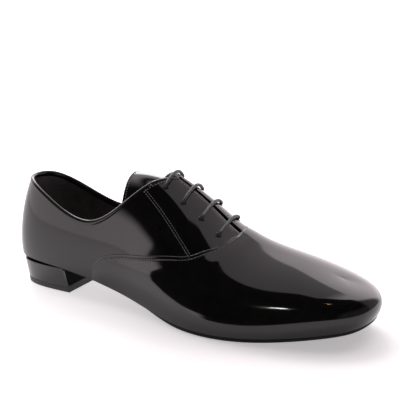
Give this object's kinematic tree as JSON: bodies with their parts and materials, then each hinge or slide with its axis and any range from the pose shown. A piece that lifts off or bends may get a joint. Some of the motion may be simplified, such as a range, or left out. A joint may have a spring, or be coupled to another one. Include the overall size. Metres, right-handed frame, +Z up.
{
  "type": "lace-up dress shoe",
  "caption": "Closed-lacing shoe for the right foot with a smooth vamp, facings with eyelets and a straight-bar lace, a thin sole and a low covered heel.",
  "frame": {"origin": "on the floor, below the middle of the shoe's length and width", "axes": "+X from heel to toe, +Y to the wearer's left, which is the inner side of this right shoe, +Z up"},
  "size_m": [0.2944, 0.1049, 0.1015],
  "materials": {
    "patent_leather": "high gloss patent",
    "binding_leather": "gloss rolled edge",
    "lining_leather": "soft matt",
    "pad_leather": "soft matt",
    "stiffener_board": "matt fibre",
    "stay_fabric": "plain weave",
    "sole_leather": "black, satin edge",
    "insole_board": "matt fibre",
    "cork": "ground cork",
    "spring_steel": "blued strip",
    "nail_steel": "plain",
    "heel_plastic": "moulded, matt",
    "rubber": "fine texture",
    "lace_cord": "waxed braid",
    "aglet_plastic": "clear black film",
    "eyelet_metal": "black enamel, worn glints"
  },
  "bodies": {
    "shoe": {"vamp": "patent_leather", "quarter_lateral": "patent_leather", "quarter_medial": "patent_leather", "heel_cover": "patent_leather", "topline_binding": "binding_leather", "vamp_lining": "lining_leather", "quarter_lining_lateral": "lining_leather", "quarter_lining_medial": "lining_leather", "sock_lining": "lining_leather", "heel_pad": "pad_leather", "heel_counter": "stiffener_board", "toe_puff": "stiffener_board", "facing_stay_lateral": "stay_fabric", "facing_stay_medial": "stay_fabric", "outsole": "sole_leather", "insole_board": "insole_board", "forepart_filler": "cork", "shank": "spring_steel", "heel_nails": "nail_steel", "heel_block": "heel_plastic", "heel_top_piece": "rubber", "lace": "lace_cord", "aglet_1": "aglet_plastic", "aglet_2": "aglet_plastic", "eyelet_lateral_1": "eyelet_metal", "eyelet_lateral_2": "eyelet_metal", "eyelet_lateral_3": "eyelet_metal", "eyelet_lateral_4": "eyelet_metal", "eyelet_medial_1": "eyelet_metal", "eyelet_medial_2": "eyelet_metal", "eyelet_medial_3": "eyelet_metal", "eyelet_medial_4": "eyelet_metal"},
    "tongue": {"tongue": "patent_leather", "tongue_lining": "lining_leather"}
  },
  "joints": [
    {"name": "tongue_hinge", "type": "hinge", "parent": "shoe", "child": "tongue", "pos_m": [0.048, 0.0086, 0.0503], "axis": [0, -1, 0], "range_deg": [0, 25], "stiffness_Nm_per_rad": 0.3, "springref_deg": -2.86}
  ]
}
